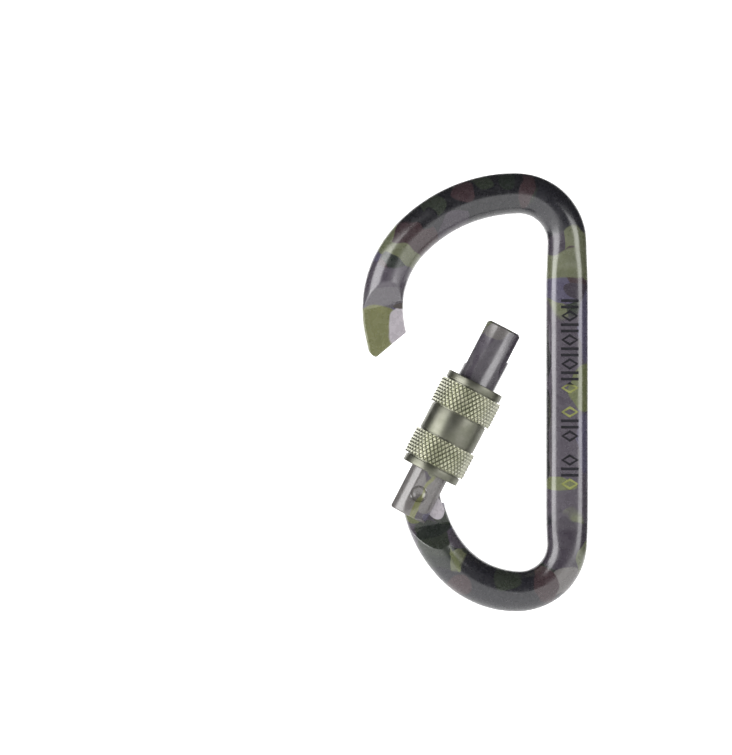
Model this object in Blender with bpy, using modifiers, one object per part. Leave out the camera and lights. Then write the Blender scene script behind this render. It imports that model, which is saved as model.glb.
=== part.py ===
"""Screw-lock carabiner: a bent D-shaped rod with a sprung gate and a knurled locking sleeve.

The D stands upright in the XZ plane with its long straight side, the spine, at +X.
The origin is the seat where a loop hangs, at the crest of the top bend's inner side.
The gate is at rest fully open, and the sleeve is screwed down towards the hinge.
"""

import math

import bmesh
import bpy
from mathutils import Matrix, Vector

MM = 0.001

# rod and its bends, seen from the front
ROD_RADIUS = 3.83 * MM
CREST_RADIUS = 3.78 * MM
CORNER_RADIUS = 3.62 * MM
NOSE_RADIUS = 3.78 * MM
STAMPED_RADIUS = 3.92 * MM
TOP_CORNER_BEND = 8.98 * MM
TOP_ARC_BEND = 27.12 * MM
TOP_ARC_SWEEP = math.radians(45.2)
SPINE_LENGTH = 54.64 * MM
BOTTOM_CORNER_BEND = 8.85 * MM
LOWER_ARC_BEND = 16.07 * MM
LOWER_ARC_SWEEP = math.radians(45.4)
HINGE_ARC_BEND = 21.9 * MM
HINGE_ARC_SWEEP = math.radians(31.9)
HINGE_STRAIGHT = 2.09 * MM
ARC_STEP = math.radians(4.5)
ROD_SIDES = 28

# spine, pressed flat front and back over part of its length
FLAT_HALF_THICKNESS = 3.3 * MM
FLAT_TOP = -10.1 * MM
FLAT_BOTTOM = -57.6 * MM
FLAT_RUN_OUT = 1.4 * MM

# gate, measured along its own axis up from the rivet
CLOSED_LEAN = math.radians(-11.7)
OPEN_LEAN = math.radians(27.4)
GATE_TAIL = -4.4 * MM
GATE_TIP = 34.0 * MM
BARREL_RADIUS = 3.86 * MM
UPPER_BARREL_RADIUS = 3.66 * MM
UPPER_BARREL_START = 21.7 * MM
EDGE_CHAMFER = 0.35 * MM

# tongues milled on both ends of the rod, and the gate's slots over them
TONGUE_HALF_THICKNESS = 1.55 * MM
SLOT_HALF_WIDTH = 1.7 * MM
HINGE_SLOT_END = 5.27 * MM
TONGUE_END_BACK = 0.5 * MM
TONGUE_END_IN = 0.4 * MM
NOSE_RAMP = (35.1 * MM, 38.2 * MM)
HINGE_RAMP = (-6.2 * MM, -10.4 * MM)
STOP_TIP = (-2.96 * MM, 25.7 * MM)
STOP_CORNER = (3.54 * MM, 29.0 * MM)
STOP_GAP = 0.4 * MM
CAM_FLAT = 2.6 * MM

# rivet through the gate's cheeks, which turns in the hinge tongue
RIVET_RADIUS = 1.45 * MM
RIVET_HALF_LENGTH = 3.72 * MM
RIVET_DIMPLE = 0.45 * MM
CHEEK_HOLE_RADIUS = 1.5 * MM
TONGUE_HOLE_RADIUS = 1.53 * MM

# spring and plunger in the gate's bore
BORE_RADIUS = 1.62 * MM
BORE_END = 19.6 * MM
PLUNGER_END = 3.9 * MM
PLUNGER_NOSE_RADIUS = 1.3 * MM
PLUNGER_NOSE_LENGTH = 1.7 * MM
PLUNGER_COLLAR_RADIUS = 1.5 * MM
PLUNGER_COLLAR_LENGTH = 1.6 * MM
PLUNGER_SPIGOT_RADIUS = 0.75 * MM
PLUNGER_SPIGOT_LENGTH = 1.4 * MM
SPRING_WIRE_RADIUS = 0.2 * MM
SPRING_COIL_RADIUS = 1.22 * MM
SPRING_TURNS = 11

# screw thread between gate and sleeve
PITCH = 1.25 * MM
THREAD_START = 15.9 * MM
THREAD_TURNS = 4.4
THREAD_CREST_RADIUS = 4.35 * MM
THREAD_ROOT_RADIUS = 3.7 * MM
THREAD_CREST_HALF_WIDTH = 0.12 * MM
THREAD_ROOT_HALF_WIDTH = 0.5 * MM
THREAD_CLEARANCE = 0.12 * MM
THREAD_STEPS = 18

# sleeve, measured up from its own lower rim
SLEEVE_SEAT = 4.3 * MM
SLEEVE_LENGTH = 18.4 * MM
SLEEVE_BORE_RADIUS = 3.99 * MM
RIM_RADIUS = 5.42 * MM
RIM_LENGTH = 1.35 * MM
KNURL_RADIUS = 5.9 * MM
KNURL_LENGTH = 4.85 * MM
BAND_SLOPE = 0.25 * MM
WAIST_RADIUS = 5.38 * MM
RING_GROOVE = (0.75 * MM, 1.65 * MM)
RING_GROOVE_RADIUS = 4.7 * MM
RING_WIRE_RADIUS = 0.3 * MM
RING_COIL_RADIUS = 4.26 * MM
RING_GAP = math.radians(28)

COLOURS = {
    "camo_coat": ((0.20, 0.21, 0.17), 0.35, 0.75),
    "sleeve_anodised": ((0.27, 0.28, 0.22), 0.38, 0.9),
    "rivet_coat": ((0.30, 0.31, 0.22), 0.35, 0.8),
    "spring_steel": ((0.55, 0.55, 0.55), 0.3, 1.0),
    "plunger_steel": ((0.45, 0.45, 0.46), 0.35, 1.0),
    "ring_steel": ((0.5, 0.5, 0.5), 0.3, 1.0),
}


def clear_scene():
    for obj in list(bpy.data.objects):
        bpy.data.objects.remove(obj)


def new_collection(name):
    collection = bpy.data.collections.new(name)
    bpy.context.scene.collection.children.link(collection)
    return collection


def new_material(name):
    colour, roughness, metallic = COLOURS[name]
    material = bpy.data.materials.new(name)
    material.use_nodes = True
    shader = material.node_tree.nodes["Principled BSDF"]
    shader.inputs["Base Color"].default_value = (*colour, 1)
    shader.inputs["Roughness"].default_value = roughness
    shader.inputs["Metallic"].default_value = metallic
    material.diffuse_color = (*colour, 1)
    return material


def add_object(name, data, collection):
    obj = bpy.data.objects.new(name, data)
    collection.objects.link(obj)
    return obj


def add_mesh(name, bm, collection):
    mesh = bpy.data.meshes.new(name)
    bm.to_mesh(mesh)
    bm.free()
    return add_object(name, mesh, collection)


def evaluated_mesh(obj):
    bpy.context.view_layer.update()
    graph = bpy.context.evaluated_depsgraph_get()
    return bpy.data.meshes.new_from_object(obj.evaluated_get(graph), depsgraph=graph)


def make_real(obj):
    """Turns a curve, or an object with modifiers, into a welded plain mesh of the same name."""
    name, matrix, parent = obj.name, obj.matrix_world.copy(), obj.parent
    collection = obj.users_collection[0]
    mesh = evaluated_mesh(obj)
    bpy.data.objects.remove(obj)
    bm = bmesh.new()
    bm.from_mesh(mesh)
    bmesh.ops.remove_doubles(bm, verts=bm.verts, dist=1e-7)
    open_edges = [edge for edge in bm.edges if edge.is_boundary]
    bmesh.ops.holes_fill(bm, edges=open_edges, sides=0)
    bmesh.ops.triangulate(bm, faces=bm.faces)
    bmesh.ops.recalc_face_normals(bm, faces=bm.faces)
    bm.to_mesh(mesh)
    bm.free()
    real = add_object(name, mesh, collection)
    real.parent = parent
    real.matrix_world = matrix
    return real


def finish(obj, material, sharp=30):
    obj.data.materials.clear()
    obj.data.materials.append(bpy.data.materials[material])
    obj.data.shade_smooth()
    obj.data.set_sharp_from_angle(angle=math.radians(sharp))


def cut(obj, cutter, operation="DIFFERENCE"):
    modifier = obj.modifiers.new(cutter.name, "BOOLEAN")
    modifier.operation = operation
    modifier.object = cutter
    return modifier


def place(obj, frame):
    obj.matrix_world = frame
    return obj


def hide_cutter(obj):
    obj.hide_render = True
    obj.display_type = "WIRE"
    return obj


def turned(name, profile, collection, steps=48):
    """A solid turned about its own Z: the profile of (radius, height) runs down the outside."""
    bm = bmesh.new()
    corners = [bm.verts.new((radius, 0, height)) for radius, height in profile]
    for start, end in zip(corners, corners[1:]):
        bm.edges.new((start, end))
    if min(profile[0][0], profile[-1][0]) > 0:
        bm.edges.new((corners[-1], corners[0]))
    obj = add_mesh(name, bm, collection)
    screw = obj.modifiers.new("turn", "SCREW")
    screw.steps = steps
    screw.render_steps = steps
    screw.use_merge_vertices = True
    screw.merge_threshold = 1e-6
    return obj


def prism(name, outline, half_depth, collection):
    """An outline of (x, z) points, extruded along Y to both sides of the plane."""
    bm = bmesh.new()
    face = bm.faces.new([bm.verts.new((x, -half_depth, z)) for x, z in outline])
    made = bmesh.ops.extrude_face_region(bm, geom=[face])["geom"]
    moved = [item for item in made if isinstance(item, bmesh.types.BMVert)]
    bmesh.ops.translate(bm, verts=moved, vec=(0, 2 * half_depth, 0))
    bmesh.ops.recalc_face_normals(bm, faces=bm.faces)
    return hide_cutter(add_mesh(name, bm, collection))


def cross_cylinder(name, radius, half_length, collection, sides=32):
    """A cylinder along Y through the local origin."""
    bm = bmesh.new()
    turn = Matrix.Rotation(math.radians(90), 4, "X")
    bmesh.ops.create_cone(
        bm,
        cap_ends=True,
        segments=sides,
        radius1=radius,
        radius2=radius,
        depth=2 * half_length,
        matrix=turn,
    )
    return add_mesh(name, bm, collection)


def helical_ridge(name, start, turns, widths, radii, collection):
    """A ridge of trapezium section that winds up its own Z, right-handed, ready to join or to cut."""
    (root_width, crest_width), (root, crest) = widths, radii
    section = [
        (root, start + root_width),
        (crest, start + crest_width),
        (crest, start - crest_width),
        (root, start - root_width),
    ]
    ridge = turned(name, section, collection)
    screw = ridge.modifiers["turn"]
    screw.angle = turns * math.tau
    screw.screw_offset = turns * PITCH
    screw.steps = round(turns * THREAD_STEPS)
    screw.render_steps = screw.steps
    screw.use_merge_vertices = False
    return hide_cutter(make_real(ridge))


class RodPath:
    """The rod's centre line in the XZ plane, laid as straight runs and arcs that meet tangent."""

    def __init__(self, start, heading):
        self.points = [Vector((start[0], start[1]))]
        self.radii = []
        self.heading = heading

    def direction(self):
        return Vector((math.cos(self.heading), math.sin(self.heading)))

    def straight(self, length, radius, pieces=1):
        start, direction = self.points[-1].copy(), self.direction()
        for index in range(1, pieces + 1):
            self.points.append(start + direction * length * index / pieces)
            self.radii.append(radius)

    def arc(self, bend, sweep, radius):
        """A positive sweep turns left."""
        side = math.copysign(1, sweep)
        start, began = self.points[-1].copy(), self.heading
        normal = Vector((-math.sin(began), math.cos(began))) * side
        centre = start + normal * bend
        pieces = max(2, math.ceil(abs(sweep) / ARC_STEP))
        for index in range(1, pieces + 1):
            self.heading = began + sweep * index / pieces
            outward = Vector((math.sin(self.heading), -math.cos(self.heading))) * side
            self.points.append(centre + outward * bend)
            self.radii.append(radius)


def lay_lower_half():
    """From the top crest over the corner, down the spine and round to the hinge end."""
    path = RodPath((0, CREST_RADIUS), 0)
    path.arc(TOP_CORNER_BEND, -math.pi / 2, CORNER_RADIUS)
    above = path.points[-1].y - FLAT_TOP - FLAT_RUN_OUT
    pressed = FLAT_TOP - FLAT_BOTTOM + 2 * FLAT_RUN_OUT
    path.straight(above, CORNER_RADIUS * 1.01, 2)
    path.straight(pressed, STAMPED_RADIUS, 12)
    path.straight(SPINE_LENGTH - above - pressed, CORNER_RADIUS * 1.01)
    path.arc(BOTTOM_CORNER_BEND, -math.pi / 2, CORNER_RADIUS)
    path.arc(LOWER_ARC_BEND, -LOWER_ARC_SWEEP, ROD_RADIUS)
    path.arc(HINGE_ARC_BEND, -HINGE_ARC_SWEEP, ROD_RADIUS)
    path.straight(HINGE_STRAIGHT, ROD_RADIUS)
    return path


def rivet_place(hinge_centre):
    """The rivet sits a little up and out from the centre of the hinge tongue's round end."""
    along = Vector((math.sin(CLOSED_LEAN), math.cos(CLOSED_LEAN)))
    outward = Vector((-along.y, along.x))
    return hinge_centre + along * TONGUE_END_BACK + outward * TONGUE_END_IN


def lay_upper_half(rivet):
    """From the top crest down to the nose, whose bend ends on the closed gate's axis."""
    path = RodPath((0, CREST_RADIUS), math.pi)
    path.arc(TOP_ARC_BEND, TOP_ARC_SWEEP, ROD_RADIUS)
    along = Vector((math.sin(CLOSED_LEAN), math.cos(CLOSED_LEAN)))
    outward = Vector((-along.y, along.x))
    final = math.pi * 1.5 - CLOSED_LEAN
    start_normal = Vector((-math.sin(path.heading), math.cos(path.heading)))
    offset = (path.points[-1] - rivet).dot(outward)
    bend = -offset / (1 + start_normal.dot(outward))
    path.arc(bend, final - path.heading, NOSE_RADIUS)
    reached = (path.points[-1] - rivet).dot(along)
    path.straight(reached - STOP_TIP[1] + 1.5 * MM, NOSE_RADIUS, 3)
    return path


def smoothed(values, rounds=3):
    for _ in range(rounds):
        padded = [values[0], *values, values[-1]]
        values = [(a + 2 * b + c) / 4 for a, b, c in zip(padded, padded[1:], padded[2:])]
    return values


def rod_curve(upper, lower, collection):
    """One rod from the nose, over the crest and down the spine, to past the hinge tongue's end."""
    extra = lower.points[-1] + lower.direction() * (ROD_RADIUS + 1 * MM)
    points = [*reversed(upper.points), *lower.points[1:], extra]
    radii = [*reversed(upper.radii), CREST_RADIUS, *lower.radii, ROD_RADIUS]
    radii = smoothed(radii[: len(points)])
    data = bpy.data.curves.new("body_frame", "CURVE")
    data.dimensions = "3D"
    data.bevel_depth = ROD_RADIUS
    data.bevel_resolution = ROD_SIDES // 2 - 2
    data.use_fill_caps = True
    spline = data.splines.new("POLY")
    spline.points.add(len(points) - 1)
    for point, place_, radius in zip(spline.points, points, radii):
        point.co = (place_.x, 0, place_.y, 1)
        point.radius = radius / ROD_RADIUS
    return add_object("body_frame", data, collection)


def mill_outline(side, base, top, clear_end):
    """Seen along the gate's X: what a mill takes off one face of a rod end, up to its ramp."""
    run = (top - base) / (ROD_RADIUS - TONGUE_HALF_THICKNESS)
    deep = TONGUE_HALF_THICKNESS + 3.2 * MM
    high = base + run * (deep - TONGUE_HALF_THICKNESS)
    outer = 9 * MM
    outline = [
        (TONGUE_HALF_THICKNESS, clear_end),
        (TONGUE_HALF_THICKNESS, base),
        (deep, high),
        (outer, high),
        (outer, clear_end),
    ]
    return [(side * y, z) for y, z in outline]


def mill_cutters(name, ramp, clear_end, gate_frame, cutters):
    """The front and back mill cuts of one rod end, with their ramps."""
    quarter = Matrix.Rotation(math.radians(90), 4, "Z")
    made = []
    for side, label in ((-1, "front"), (1, "back")):
        outline = mill_outline(side, *ramp, clear_end)
        cutter = prism(f"{name}_{label}", outline, 8 * MM, cutters)
        made.append(place(cutter, gate_frame @ quarter))
    return made


def spine_cutters(cutters):
    """The front and back presses that flatten the spine, with short run-outs."""
    deep = FLAT_HALF_THICKNESS + 1.2 * MM
    slope = FLAT_RUN_OUT * 2
    outline = [
        (FLAT_HALF_THICKNESS, FLAT_TOP),
        (deep, FLAT_TOP + slope),
        (deep, FLAT_BOTTOM - slope),
        (FLAT_HALF_THICKNESS, FLAT_BOTTOM),
    ]
    quarter = Matrix.Rotation(math.radians(90), 4, "Z")
    spine = Matrix.Translation((TOP_CORNER_BEND, 0, 0))
    made = []
    for side, label in ((-1, "front"), (1, "back")):
        flat = [(side * y, z) for y, z in outline]
        cutter = prism(f"spine_press_{label}", flat, 6 * MM, cutters)
        made.append(place(cutter, spine @ quarter))
    return made


def nose_end_cutter(gate_frame, cutters):
    """Takes the nose off along the slanted edge that stops the gate, and rounds its tip."""
    (tip_x, tip_z), (corner_x, corner_z) = STOP_TIP, STOP_CORNER
    slope = (corner_z - tip_z) / (corner_x - tip_x)
    wide = 6 * MM
    rounded = tip_x - 0.9 * MM
    outline = [
        (wide, corner_z + slope * (wide - corner_x)),
        (tip_x, tip_z),
        (rounded, tip_z + 2.2 * MM),
        (rounded - 3 * MM, tip_z + 20 * MM),
        (-wide - 3 * MM, tip_z - 4 * MM),
        (wide, tip_z - 4 * MM),
    ]
    return place(prism("nose_end", outline, 6 * MM, cutters), gate_frame)


def hinge_end_cutter(gate_frame, cutters):
    """Rounds the hinge tongue's end in the D's plane, and takes a cam flat off its top."""
    block_outline = [
        (-8 * MM, 0),
        (8 * MM, 0),
        (8 * MM, 8 * MM),
        (-8 * MM, 8 * MM),
    ]
    centre = gate_frame @ Matrix.Translation((TONGUE_END_IN, 0, -TONGUE_END_BACK))
    block = place(prism("hinge_end", block_outline, 6 * MM, cutters), centre)
    core = cross_cylinder("hinge_end_core", ROD_RADIUS, 7 * MM, cutters, 64)
    place(hide_cutter(core), centre)
    cut(block, core)
    flat_outline = [
        (-8 * MM, CAM_FLAT),
        (8 * MM, CAM_FLAT),
        (8 * MM, 9 * MM),
        (-8 * MM, 9 * MM),
    ]
    flat = place(prism("cam_flat", flat_outline, 5 * MM, cutters), gate_frame)
    return [block, flat]


def build_body_frame(upper, lower, closed, parts, cutters):
    frame = make_real(rod_curve(upper, lower, parts))
    for cutter in spine_cutters(cutters):
        cut(frame, cutter)
    for cutter in mill_cutters("nose_mill", NOSE_RAMP, 20 * MM, closed, cutters):
        cut(frame, cutter)
    for cutter in mill_cutters("hinge_mill", HINGE_RAMP, 9 * MM, closed, cutters):
        cut(frame, cutter)
    cut(frame, nose_end_cutter(closed, cutters))
    for cutter in hinge_end_cutter(closed, cutters):
        cut(frame, cutter)
    hole = cross_cylinder("tongue_hole", TONGUE_HOLE_RADIUS, 5 * MM, cutters)
    cut(frame, place(hide_cutter(hole), closed))
    finish(frame, "camo_coat")


def gate_profile():
    return [
        (0, GATE_TIP),
        (UPPER_BARREL_RADIUS - EDGE_CHAMFER, GATE_TIP),
        (UPPER_BARREL_RADIUS, GATE_TIP - EDGE_CHAMFER),
        (UPPER_BARREL_RADIUS, UPPER_BARREL_START),
        (BARREL_RADIUS, UPPER_BARREL_START - 0.3 * MM),
        (BARREL_RADIUS, GATE_TAIL + EDGE_CHAMFER),
        (BARREL_RADIUS - EDGE_CHAMFER, GATE_TAIL),
        (0, GATE_TAIL),
    ]


def nose_slot_outline():
    """The slot's floor runs just under the nose's slanted edge."""
    (tip_x, tip_z), (corner_x, corner_z) = STOP_TIP, STOP_CORNER
    slope = (corner_z - tip_z) / (corner_x - tip_x)
    wide = 6 * MM
    floor = tip_z - STOP_GAP
    return [
        (-wide, floor + slope * (-wide - tip_x)),
        (wide, floor + slope * (wide - tip_x)),
        (wide, GATE_TIP + 2 * MM),
        (-wide, GATE_TIP + 2 * MM),
    ]


def build_gate(pivot, parts, cutters):
    gate = turned("gate", gate_profile(), parts)
    widths = (THREAD_ROOT_HALF_WIDTH, THREAD_CREST_HALF_WIDTH)
    radii = (THREAD_ROOT_RADIUS, THREAD_CREST_RADIUS)
    ridge = helical_ridge("gate_thread", THREAD_START, THREAD_TURNS, widths, radii, cutters)
    cut(gate, ridge, "UNION")
    bore = turned(
        "spring_bore",
        [(0, BORE_END), (BORE_RADIUS, BORE_END), (BORE_RADIUS, 3 * MM), (0, 3 * MM)],
        cutters,
        24,
    )
    cut(gate, hide_cutter(bore))
    cut(gate, prism("nose_slot", nose_slot_outline(), SLOT_HALF_WIDTH, cutters))
    wide = 6 * MM
    tail = GATE_TAIL - 2 * MM
    outline = [(-wide, tail), (wide, tail), (wide, HINGE_SLOT_END), (-wide, HINGE_SLOT_END)]
    cut(gate, prism("hinge_slot", outline, SLOT_HALF_WIDTH, cutters))
    hole = cross_cylinder("cheek_hole", CHEEK_HOLE_RADIUS, 6 * MM, cutters)
    cut(gate, hide_cutter(hole))
    for helper in (ridge, bore, hole, *(cutters.objects[n] for n in ("nose_slot", "hinge_slot"))):
        helper.parent = pivot
    gate.parent = pivot
    finish(gate, "camo_coat")


def build_rivet(pivot, parts):
    """A plain pin with a punched dimple in each end, turned about Z and laid along Y."""
    rim = RIVET_RADIUS - 0.2 * MM
    dimple = [
        (rim * math.sin(angle), RIVET_DIMPLE * math.cos(angle))
        for angle in (math.radians(step * 18) for step in range(5))
    ]
    top = [(radius, RIVET_HALF_LENGTH - depth) for radius, depth in dimple]
    top += [(rim, RIVET_HALF_LENGTH), (RIVET_RADIUS, RIVET_HALF_LENGTH - 0.1 * MM)]
    profile = top + [(radius, -height) for radius, height in reversed(top)]
    rivet = turned("hinge_rivet", profile, parts, 32)
    rivet.rotation_euler = (math.radians(90), 0, 0)
    rivet.parent = pivot
    finish(rivet, "rivet_coat")


def build_plunger(pivot, parts):
    collar = PLUNGER_NOSE_LENGTH
    spigot = collar + PLUNGER_COLLAR_LENGTH
    top = spigot + PLUNGER_SPIGOT_LENGTH
    profile = [
        (0, top),
        (PLUNGER_SPIGOT_RADIUS - 0.1 * MM, top),
        (PLUNGER_SPIGOT_RADIUS, top - 0.1 * MM),
        (PLUNGER_SPIGOT_RADIUS, spigot),
        (PLUNGER_COLLAR_RADIUS, spigot),
        (PLUNGER_COLLAR_RADIUS, collar),
        (PLUNGER_NOSE_RADIUS, collar),
        (PLUNGER_NOSE_RADIUS, 0.1 * MM),
        (PLUNGER_NOSE_RADIUS - 0.1 * MM, 0),
        (0, 0),
    ]
    plunger = turned("spring_plunger", profile, parts, 24)
    plunger.location = (0, 0, PLUNGER_END)
    plunger.parent = pivot
    finish(plunger, "plunger_steel")


def wire_curve(name, points, wire_radius, collection):
    data = bpy.data.curves.new(name, "CURVE")
    data.dimensions = "3D"
    data.bevel_depth = wire_radius
    data.bevel_resolution = 2
    data.use_fill_caps = True
    spline = data.splines.new("POLY")
    spline.points.add(len(points) - 1)
    for point, place_ in zip(spline.points, points):
        point.co = (*place_, 1)
    return add_object(name, data, collection)


def build_spring(pivot, parts):
    """A right-hand coil from the plunger's collar to the end of the bore."""
    gap = SPRING_WIRE_RADIUS + 0.05 * MM
    bottom = PLUNGER_END + PLUNGER_NOSE_LENGTH + PLUNGER_COLLAR_LENGTH + gap
    top = BORE_END - gap
    count = SPRING_TURNS * 12
    points = []
    for index in range(count + 1):
        share = index / count
        angle = share * SPRING_TURNS * math.tau
        x = SPRING_COIL_RADIUS * math.cos(angle)
        y = SPRING_COIL_RADIUS * math.sin(angle)
        points.append((x, y, bottom + share * (top - bottom)))
    spring = make_real(wire_curve("gate_spring", points, SPRING_WIRE_RADIUS, parts))
    spring.parent = pivot
    finish(spring, "spring_steel", 60)


def sleeve_profile():
    """Rim, knurled band, waist, knurled band and rim down the outside, then up the bore."""
    mouth = SLEEVE_BORE_RADIUS + EDGE_CHAMFER
    knurl_high = SLEEVE_LENGTH - RIM_LENGTH - BAND_SLOPE
    knurl_low = knurl_high - KNURL_LENGTH
    half = [
        (RIM_RADIUS - 0.25 * MM, SLEEVE_LENGTH),
        (RIM_RADIUS, SLEEVE_LENGTH - 0.25 * MM),
        (RIM_RADIUS, SLEEVE_LENGTH - RIM_LENGTH),
        (KNURL_RADIUS, knurl_high),
        (KNURL_RADIUS, knurl_low),
        (WAIST_RADIUS, knurl_low - BAND_SLOPE),
    ]
    outside = half + [(radius, SLEEVE_LENGTH - height) for radius, height in reversed(half)]
    low, high = RING_GROOVE
    inside = [
        (mouth, 0),
        (SLEEVE_BORE_RADIUS, EDGE_CHAMFER),
        (SLEEVE_BORE_RADIUS, low),
        (RING_GROOVE_RADIUS, low),
        (RING_GROOVE_RADIUS, high),
        (SLEEVE_BORE_RADIUS, high),
        (SLEEVE_BORE_RADIUS, SLEEVE_LENGTH - EDGE_CHAMFER),
        (mouth, SLEEVE_LENGTH),
    ]
    return outside + inside


def build_sleeve(pivot, parts, cutters):
    sleeve = turned("locking_sleeve", sleeve_profile(), parts, 36)
    rise = THREAD_START - SLEEVE_SEAT
    start = rise - PITCH * math.floor((rise - RING_GROOVE[0]) / PITCH)
    turns = (SLEEVE_LENGTH - start) / PITCH + 1
    widths = (
        THREAD_ROOT_HALF_WIDTH + THREAD_CLEARANCE / 2,
        THREAD_CREST_HALF_WIDTH + THREAD_CLEARANCE,
    )
    radii = (THREAD_ROOT_RADIUS, THREAD_CREST_RADIUS + THREAD_CLEARANCE)
    groove = helical_ridge("sleeve_thread", start, turns, widths, radii, cutters)
    cut(sleeve, groove)
    for obj in (sleeve, groove):
        obj.location = (0, 0, SLEEVE_SEAT)
        obj.parent = pivot
    finish(sleeve, "sleeve_anodised")


def build_stop_ring(pivot, parts):
    """A sprung wire ring in the sleeve's groove, which catches under the gate's thread."""
    height = SLEEVE_SEAT + sum(RING_GROOVE) / 2
    steps = 40
    points = []
    for index in range(steps + 1):
        angle = RING_GAP / 2 + (math.tau - RING_GAP) * index / steps
        x = RING_COIL_RADIUS * math.cos(angle)
        y = RING_COIL_RADIUS * math.sin(angle)
        points.append((x, y, height))
    ring = make_real(wire_curve("sleeve_stop_ring", points, RING_WIRE_RADIUS, parts))
    ring.parent = pivot
    finish(ring, "ring_steel", 60)


def main():
    clear_scene()
    parts = new_collection("locking_carabiner")
    cutters = new_collection("cutters")
    for name in COLOURS:
        new_material(name)

    lower = lay_lower_half()
    rivet = rivet_place(lower.points[-1])
    upper = lay_upper_half(rivet)
    at_rivet = Matrix.Translation((rivet.x, 0, rivet.y))
    closed = at_rivet @ Matrix.Rotation(CLOSED_LEAN, 4, "Y")

    pivot = add_object("gate_pivot", None, parts)
    pivot.matrix_world = at_rivet @ Matrix.Rotation(OPEN_LEAN, 4, "Y")

    build_body_frame(upper, lower, closed, parts, cutters)
    build_gate(pivot, parts, cutters)
    build_rivet(pivot, parts)
    build_plunger(pivot, parts)
    build_spring(pivot, parts)
    build_sleeve(pivot, parts, cutters)
    build_stop_ring(pivot, parts)


main()
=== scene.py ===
import math

import bmesh
import bpy
import numpy as np
from mathutils import Matrix, Vector


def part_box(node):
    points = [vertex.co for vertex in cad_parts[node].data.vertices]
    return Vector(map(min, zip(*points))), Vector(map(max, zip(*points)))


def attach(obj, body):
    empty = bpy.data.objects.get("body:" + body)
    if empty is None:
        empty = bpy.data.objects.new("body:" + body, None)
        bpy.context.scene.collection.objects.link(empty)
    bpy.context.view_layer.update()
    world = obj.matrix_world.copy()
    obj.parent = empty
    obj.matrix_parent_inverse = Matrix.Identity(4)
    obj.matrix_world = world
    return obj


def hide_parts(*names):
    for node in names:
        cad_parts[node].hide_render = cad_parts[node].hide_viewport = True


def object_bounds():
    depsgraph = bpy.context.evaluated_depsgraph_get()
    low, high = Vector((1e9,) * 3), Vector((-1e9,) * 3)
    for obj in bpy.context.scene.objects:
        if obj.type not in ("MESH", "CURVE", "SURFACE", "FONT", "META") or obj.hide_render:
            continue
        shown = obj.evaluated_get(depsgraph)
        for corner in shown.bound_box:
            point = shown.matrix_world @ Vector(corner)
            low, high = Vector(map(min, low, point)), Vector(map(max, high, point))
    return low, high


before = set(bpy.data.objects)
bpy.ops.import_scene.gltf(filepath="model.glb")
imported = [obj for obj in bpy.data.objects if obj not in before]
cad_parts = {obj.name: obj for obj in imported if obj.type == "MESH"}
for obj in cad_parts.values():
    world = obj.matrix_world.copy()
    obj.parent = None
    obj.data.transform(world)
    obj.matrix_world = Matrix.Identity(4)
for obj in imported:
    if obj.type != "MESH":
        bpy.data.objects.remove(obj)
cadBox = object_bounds()
mm = 0.001
tau = math.tau

# where things are: the same rod, gate and sleeve as the frame's, in metres
rivetLow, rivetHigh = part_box("hinge_rivet")
rivetAt = (rivetLow + rivetHigh) / 2
closedLean = math.radians(-11.7)
openLean = math.radians(27.4)
closedGate = Matrix.Translation(rivetAt) @ Matrix.Rotation(closedLean, 4, "Y")
openGate = Matrix.Translation(rivetAt) @ Matrix.Rotation(openLean, 4, "Y")

# small helpers for meshes


def addPiece(name, mesh):
    obj = bpy.data.objects.new(name, mesh)
    bpy.context.scene.collection.objects.link(obj)
    return obj


def meshFrom(name, points, faces):
    mesh = bpy.data.meshes.new(name)
    mesh.from_pydata([tuple(p) for p in points], [], [tuple(f) for f in faces])
    mesh.update()
    return mesh


# leaves the evaluated shape as a plain mesh
def bakeModifiers(obj):
    bpy.context.view_layer.update()
    graph = bpy.context.evaluated_depsgraph_get()
    mesh = bpy.data.meshes.new_from_object(obj.evaluated_get(graph), depsgraph=graph)
    obj.modifiers.clear()
    obj.data = mesh
    return obj


def tidyNormals(mesh):
    bm = bmesh.new()
    bm.from_mesh(mesh)
    bmesh.ops.recalc_face_normals(bm, faces=bm.faces)
    bm.to_mesh(mesh)
    bm.free()


def joinMeshes(name, meshes):
    bm = bmesh.new()
    for mesh in meshes:
        bm.from_mesh(mesh)
    joined = bpy.data.meshes.new(name)
    bm.to_mesh(joined)
    bm.free()
    return joined


# rounds the corners of a (radius, height, fillet) outline with short arcs
def filletProfile(corners):
    made = []
    count = len(corners)
    for index, (radius, height, fillet) in enumerate(corners):
        here = Vector((radius, height))
        if fillet == 0:
            made.append(here)
            continue
        before = Vector(corners[index - 1][:2]) - here
        after = Vector(corners[(index + 1) % count][:2]) - here
        before.normalize()
        after.normalize()
        half = before.angle(after) / 2
        reach = fillet / math.tan(half)
        centre = here + (before + after).normalized() * (fillet / math.sin(half))
        first = here + before * reach - centre
        last = here + after * reach - centre
        sweep = first.angle_signed(last)
        for step in range(5):
            turn = Matrix.Rotation(-sweep * step / 4, 2)
            made.append(centre + turn @ first)
    return made


# turns an outline of (radius, height) about Z; a ring outline closes on itself
def latheMesh(name, profile, steps, ring=False):
    points, faces = [], []
    rows = []
    for radius, height in profile:
        if radius < 1e-7:
            rows.append([len(points)] * steps)
            points.append((0, 0, height))
            continue
        rows.append(list(range(len(points), len(points) + steps)))
        for step in range(steps):
            angle = tau * step / steps
            points.append((radius * math.cos(angle), radius * math.sin(angle), height))
    pairs = list(zip(rows, rows[1:]))
    if ring:
        pairs.append((rows[-1], rows[0]))
    for upper, lower in pairs:
        for step in range(steps):
            after = (step + 1) % steps
            face = [upper[step], lower[step], lower[after], upper[after]]
            unique = list(dict.fromkeys(face))
            if len(unique) > 2:
                faces.append(unique)
    mesh = meshFrom(name, points, faces)
    tidyNormals(mesh)
    return mesh


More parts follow.
